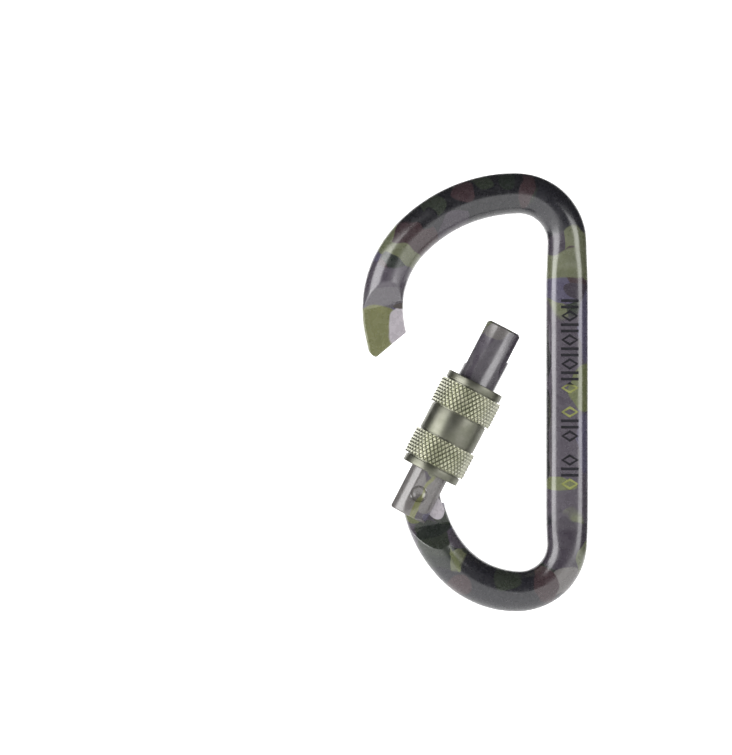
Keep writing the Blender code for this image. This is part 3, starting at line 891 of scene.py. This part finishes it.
print("rod")
camo = camoMaterial("camoCoat", bodyPatches, bodyCells)
body = addPiece("bentRod", rodMesh())
body.data.materials.append(camo)
body.data.shade_smooth()
inkAndShade = inkAndShadeMaterial()
markMesh = growMesh(
    "markRow",
    markTree(),
    {
        "Count": marks["count"],
        "Pitch": marks["pitch"] * mm,
        "Tall": marks["tall"] * mm,
        "Wide": marks["wide"] * mm,
        "Stroke": marks["stroke"] * mm,
        "Depth": 2 * marks["depth"] * mm,
        "First Gap": marks["firstGap"],
        "Second Gap": marks["secondGap"],
        "Finish": inkAndShade,
    },
)
markMesh.transform(Matrix.Translation(Vector((marks["centre"], -rod["flatHalfThickness"], marks["top"])) * mm))
tidyNormals(markMesh)
rivetHole = crossPin("rivetHole", 1.53 * mm, 6 * mm)
rivetHole.transform(Matrix.Translation(rivetAt))
rivetHole.materials.append(camo)
cutWith(body, [addPiece("markRow", markMesh), addPiece("rivetHole", rivetHole)])
body.data.set_sharp_from_angle(angle=math.radians(50))
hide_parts("body_frame")
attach(body, "frame")

# thread on the gate, and the sleeve's, half a pitch out of step with it
thread = {
    "pitch": 1.25,
    "start": 15.9,
    "turns": 4.4,
    "sleeveTurns": 11.8,
    "radius": 4.03,
    "depth": 0.64,
    "width": 1.0,
    "crest": 0.26,
    "sleeveRadius": 4.27,
    "sleeveDepth": -0.4,
    "sleeveWidth": 0.55,
    "sleeveCrest": 0.2,
    "steps": 48,
}

# sleeve
sleeve = {
    "seat": 4.3,
    "length": 18.4,
    "bore": 3.99,
    "rimRadius": 5.42,
    "rim": 1.35,
    "slope": 0.25,
    "knurl": 4.85,
    "knurlRoot": 5.52,
    "knurlCrest": 5.9,
    "around": 40,
    "rows": 8,
    "waist": 5.38,
    "steps": 128,
}


def sleeveMesh(material, threadTree):
    length, rim, slope = sleeve["length"], sleeve["rim"], sleeve["slope"]
    rimRadius, waist, bore = sleeve["rimRadius"], sleeve["waist"], sleeve["bore"]
    under = sleeve["knurlRoot"] - 0.12
    high = length - rim - slope
    low = high - sleeve["knurl"]
    half = [
        (bore + 0.35, length, 0.12),
        (rimRadius, length, 0.16),
        (rimRadius, length - rim, 0.08),
        (rimRadius - 0.28, length - rim - 0.05, 0),
        (rimRadius - 0.28, high - 0.02, 0),
        (under, high - 0.05, 0),
        (under, low + 0.05, 0),
        (waist - 0.2, low + 0.02, 0),
        (waist - 0.2, low - slope + 0.03, 0),
        (waist, low - slope, 0.06),
    ]
    mirrored = [(radius, length - height, fillet) for radius, height, fillet in reversed(half)]
    inside = [(bore, 0.35, 0.1), (bore, 0.75, 0), (4.7, 0.75, 0), (4.7, 1.65, 0)]
    inside += [(4.45, 1.65, 0), (4.45, length - 0.8, 0), (bore, length - 0.8, 0), (bore, length - 0.35, 0.1)]
    outline = [(radius * mm, height * mm, fillet * mm) for radius, height, fillet in half + mirrored + inside]
    turned = latheMesh("sleeveTurned", filletProfile(outline), sleeve["steps"], ring=True)
    turned.shade_smooth()
    turned.set_sharp_from_angle(angle=math.radians(35))
    turned.materials.append(material)
    meshes = [turned]
    tree = knurlTree()
    for lower in (low, length - high):
        band = growMesh(
            "knurl",
            tree,
            {
                "Around": sleeve["around"],
                "Rows": sleeve["rows"],
                "Lower": lower * mm,
                "Upper": (lower + sleeve["knurl"]) * mm,
                "Root Radius": sleeve["knurlRoot"] * mm,
                "Depth": (sleeve["knurlCrest"] - sleeve["knurlRoot"]) * mm,
                "Tip Share": 0.16,
                "Inner Radius": (sleeve["knurlRoot"] - 0.3) * mm,
                "Finish": material,
            },
        )
        bm = bmesh.new()
        bm.from_mesh(band)
        edges = [edge for edge in bm.edges if edge.is_boundary]
        bmesh.ops.bridge_loops(bm, edges=edges)
        bmesh.ops.recalc_face_normals(bm, faces=bm.faces)
        bm.to_mesh(band)
        bm.free()
        meshes.append(band)
    ridge = growMesh(
        "femaleThread",
        threadTree,
        {
            "Turns": thread["sleeveTurns"],
            "Pitch": thread["pitch"] * mm,
            "Radius": thread["sleeveRadius"] * mm,
            "Start": (thread["start"] - thread["pitch"] * 7.5 - sleeve["seat"]) * mm,
            "Thickness": thread["sleeveDepth"] * mm,
            "Width": thread["sleeveWidth"] * mm,
            "Crest Width": thread["sleeveCrest"] * mm,
            "Steps": thread["steps"],
            "Finish": material,
        },
    )
    tidyNormals(ridge)
    meshes.append(ridge)
    joined = joinMeshes("lockingSleeve", meshes)
    joined.transform(openGate @ Matrix.Translation((0, 0, sleeve["seat"] * mm)))
    return joined


print("sleeve")
sleeveFinish = anodisedMaterial("anodisedOlive", openGate, (236, 236, 218), (206, 208, 186), True)
threadTree = coilTree("threadRidge")
collar = addPiece("lockingSleeve", sleeveMesh(sleeveFinish, threadTree))
if not collar.data.materials:
    collar.data.materials.append(sleeveFinish)
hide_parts("locking_sleeve")
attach(collar, "sleeve")

# gate
gate = {
    "tail": -4.4,
    "tip": 34.0,
    "barrel": 3.86,
    "upper": 3.66,
    "upperStart": 21.7,
    "chamfer": 0.35,
    "slotHalf": 1.7,
    "hingeSlotEnd": 5.27,
    "stopGap": 0.4,
    "hole": 1.5,
    "bevel": 0.09,
    "boreRadius": 1.62,
    "boreFloor": 3.0,
    "boreTop": 19.6,
    "steps": 96,
}
gatePatches = [
    (-20.4, -51.0, 3.4, 6.4, 25, "grey", frontY),
    (-17.4, -52.2, 0.7, 6.0, 22, "olive", frontY),
    (-15.4, -55.0, 1.3, 1.6, 25, "violet", frontY),
    (-14.6, -50.0, 1.8, 4.6, 25, "grey", frontY),
    # the slate down the barrel's left side and the grey at its tip are partly camo and partly a painted highlight
    (-4.4, -28.0, 3.4, 7.0, 27, "slate", frontY),
    (-1.0, -26.0, 1.4, 6.0, 27, "plum", frontY),
    (-3.8, -21.2, 2.4, 1.3, 20, "grey", frontY),
]


def gateMesh():
    tail, tip, chamfer = gate["tail"], gate["tip"], gate["chamfer"]
    upper, barrel, start = gate["upper"], gate["barrel"], gate["upperStart"]
    outline = [
        (0, tip, 0),
        (upper - chamfer, tip, 0.1),
        (upper, tip - chamfer, 0.1),
        (upper, start, 0),
        (barrel, start - 0.3, 0),
        (barrel, tail, 0.3),
        (0, tail, 0),
    ]
    outline = [(radius * mm, height * mm, fillet * mm) for radius, height, fillet in outline]
    return latheMesh("gateBlank", filletProfile(outline), gate["steps"])


# an outline of (x, z) pushed out along Y to both sides
def slotMesh(outline, half):
    bm = bmesh.new()
    face = bm.faces.new([bm.verts.new((x * mm, -half * mm, z * mm)) for x, z in outline])
    made = bmesh.ops.extrude_face_region(bm, geom=[face])["geom"]
    moved = [item for item in made if isinstance(item, bmesh.types.BMVert)]
    bmesh.ops.translate(bm, verts=moved, vec=(0, 2 * half * mm, 0))
    bmesh.ops.recalc_face_normals(bm, faces=bm.faces)
    mesh = bpy.data.meshes.new("slot")
    bm.to_mesh(mesh)
    bm.free()
    return mesh


print("gate")
gateCamo = camoMaterial("camoGate", gatePatches, ["grey", "mauve", "slate", "plum", "khaki"])
wing = addPiece("gateBar", gateMesh())
(tipOut, tipAlong), (cornerOut, cornerAlong) = rod["stopTip"], rod["stopCorner"]
floorSlope = (cornerAlong - tipAlong) / (cornerOut - tipOut) * -1
floor = tipAlong - gate["stopGap"]
noseSlot = [
    (-6, floor + floorSlope * (-6 + tipOut)),
    (6, floor + floorSlope * (6 + tipOut)),
    (6, gate["tip"] + 2),
    (-6, gate["tip"] + 2),
]
hingeSlot = [(-6, gate["tail"] - 2), (6, gate["tail"] - 2), (6, gate["hingeSlotEnd"]), (-6, gate["hingeSlotEnd"])]
boreRadius, boreTop, boreFloor = gate["boreRadius"], gate["boreTop"], gate["boreFloor"]
springBore = [(0, boreTop), (boreRadius, boreTop), (boreRadius, boreFloor), (0, boreFloor)]
cutWith(
    wing,
    [
        addPiece("noseSlot", slotMesh(noseSlot, gate["slotHalf"])),
        addPiece("hingeSlot", slotMesh(hingeSlot, gate["slotHalf"])),
        addPiece("bore", latheMesh("bore", [(r * mm, z * mm) for r, z in springBore], 32)),
        addPiece("hole", crossPin("hole", gate["hole"] * mm, 6 * mm, 48)),
    ],
)
soften = wing.modifiers.new("soften", "BEVEL")
soften.width = gate["bevel"] * mm
soften.segments = 2
soften.limit_method = "ANGLE"
soften.angle_limit = math.radians(42)
bakeModifiers(wing)
maleThread = growMesh(
    "maleThread",
    threadTree,
    {
        "Turns": thread["turns"],
        "Pitch": thread["pitch"] * mm,
        "Radius": thread["radius"] * mm,
        "Start": thread["start"] * mm,
        "Thickness": thread["depth"] * mm,
        "Width": thread["width"] * mm,
        "Crest Width": thread["crest"] * mm,
        "Steps": thread["steps"],
        "Finish": gateCamo,
    },
)
wing.data = joinMeshes("gateBar", [wing.data, maleThread])
wing.data.transform(openGate)
wing.data.materials.clear()
wing.data.materials.append(gateCamo)
wing.data.shade_smooth()
wing.data.set_sharp_from_angle(angle=math.radians(40))
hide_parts("gate")
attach(wing, "gate")

# rivet
rivet = {"radius": 1.45, "half": 3.72, "dimple": 0.7, "rim": 0.1, "steps": 64}


def rivetMesh():
    rim = rivet["radius"] - rivet["rim"]
    bowl = [(rim * math.sin(a), rivet["dimple"] * math.cos(a)) for a in np.linspace(0, math.pi / 2, 9)[:-1]]
    top = [(radius, rivet["half"] - depth) for radius, depth in bowl]
    top += [(rim, rivet["half"] - 0.04), (rim + 0.05, rivet["half"]), (rivet["radius"] - 0.06, rivet["half"] - 0.02)]
    top += [(rivet["radius"], rivet["half"] - 0.1)]
    outline = top + [(radius, -height) for radius, height in reversed(top)]
    mesh = latheMesh("rivet", [(radius * mm, height * mm) for radius, height in outline], rivet["steps"])
    mesh.transform(openGate @ Matrix.Rotation(math.radians(90), 4, "X"))
    return mesh


print("rivet")
pin = addPiece("hingeRivet", rivetMesh())
pin.data.materials.append(gateCamo)
pin.data.shade_smooth()
pin.data.set_sharp_from_angle(angle=math.radians(40))
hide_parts("hinge_rivet")
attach(pin, "gate")

# steel pieces inside
steel = anodisedMaterial("drawnSteel", openGate, (190, 190, 190), (150, 150, 152), False)
for node in ("gate_spring", "spring_plunger", "sleeve_stop_ring"):
    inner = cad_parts[node]
    inner.data.materials.clear()
    inner.data.materials.append(steel)

# floor, light and camera
print("light and camera")
studio = {
    "lens": 200,
    "sensor": 36,
    "viewHeight": 137.55,
    "aim": (-27.63, -29.77),
    "boxDistance": 0.9,
    "paperGlow": 1.0,
    "ambient": 0.05,
    "floorGlow": 0.5,
}


def areaLight(name, place, target, size, power):
    data = bpy.data.lights.new(name, "AREA")
    data.shape = "RECTANGLE"
    data.size, data.size_y = size
    data.energy = power
    lamp = bpy.data.objects.new(name, data)
    bpy.context.scene.collection.objects.link(lamp)
    lamp.location = place
    lamp.rotation_euler = (Vector(target) - Vector(place)).to_track_quat("-Z", "Y").to_euler()


low, high = cadBox
viewHeight = studio["viewHeight"] * mm
cameraData = bpy.data.cameras.new("camera")
cameraData.lens = studio["lens"]
cameraData.sensor_width = studio["sensor"]
camera = bpy.data.objects.new("camera", cameraData)
bpy.context.scene.collection.objects.link(camera)
aimX, aimZ = studio["aim"]
camera.location = (aimX * mm, -viewHeight / studio["sensor"] * studio["lens"], aimZ * mm)
camera.rotation_euler = (math.radians(90), 0, 0)
bpy.context.scene.camera = camera

stage = {
    "drop": 0.09,
    "back": 0.5,
    "front": -1.5,
    "bend": 0.12,
    "halfWidth": 1.0,
    "wallHalfWidth": 0.42,
    "wallTop": 0.3,
    "nearRing": 0.45,
    "farRing": 0.95,
}
floorZ = low.z - stage["drop"]
bend = [(stage["bend"] * math.sin(a), stage["bend"] * (1 - math.cos(a))) for a in np.linspace(0, math.pi / 2, 12)]
line = [(stage["halfWidth"], stage["front"], floorZ)]
line += [(stage["wallHalfWidth"], stage["back"] - stage["bend"] + y, floorZ + z) for y, z in bend]
line.append((stage["wallHalfWidth"], stage["back"], stage["wallTop"]))
points = [(side * x + (low.x + high.x) / 2, y, z) for x, y, z in line for side in (-1, 1)]
faces = [(row, row + 1, row + 3, row + 2) for row in range(0, len(points) - 2, 2)]
sweep = addPiece("paperSweep", meshFrom("paperSweep", points, faces))
sweep.data.shade_smooth()
paper, make, shader = newMaterial(
    "paper",
    {
        "Base Color": (0.9, 0.9, 0.9, 1),
        "Roughness": 0.9,
        "Emission Color": (1, 1, 1, 1),
    },
)
where = make.add("ShaderNodeTexCoord", out=3)
rise = make.add("ShaderNodeSeparateXYZ", None, {0: where}, out=2)
glow = make.ramp(rise, floorZ, floorZ + stage["bend"] / 2, studio["floorGlow"], studio["paperGlow"])
# and it glows as much far out, so that its edge doesn't show
distance = make.vector("LENGTH", where, out=1)
farGlow = make.ramp(distance, stage["nearRing"], stage["farRing"], studio["floorGlow"], studio["paperGlow"])
glow = make.math("MAXIMUM", glow, farGlow)
make.tree.links.new(glow, shader.inputs["Emission Strength"])
# seen from its back, the sweep is clear, so that it never stands in front of the piece
fromBehind = make.add("ShaderNodeNewGeometry", out=6)
clear = make.add("ShaderNodeBsdfTransparent")
oneSided = make.add("ShaderNodeMixShader", None, {0: fromBehind, 1: shader.outputs[0], 2: clear})
make.tree.links.new(oneSided, make.tree.nodes["Material Output"].inputs["Surface"])
sweep.data.materials.append(paper)

middle = (low + high) / 2


# a softbox that faces the object, at an azimuth from the camera's side
def sideBox(name, azimuth, rise, size, power):
    angle = math.radians(azimuth)
    offset = Vector((math.sin(angle), -math.cos(angle), 0)) * studio["boxDistance"]
    areaLight(name, middle + offset + Vector((0, 0, rise)), middle, size, power)


sideBox("leftSoftbox", -60, 0.04, (0.86, 1.05), 9.5)
sideBox("rightSoftbox", 50, -0.1, (0.62, 0.95), 5.0)
world = bpy.data.worlds.new("world")
world.use_nodes = True
world.node_tree.nodes["Background"].inputs["Color"].default_value = (0.95, 0.95, 0.96, 1)
worldMake = NodeMaker(world.node_tree)
# a pale room to look at, which lights the piece only faintly
seen = worldMake.add("ShaderNodeLightPath")
strength = worldMake.ramp(seen, 0, 1, studio["ambient"], studio["paperGlow"], smooth=False)
world.node_tree.links.new(strength, world.node_tree.nodes["Background"].inputs["Strength"])
bpy.context.scene.world = world
bpy.context.scene.view_settings.view_transform = "Standard"
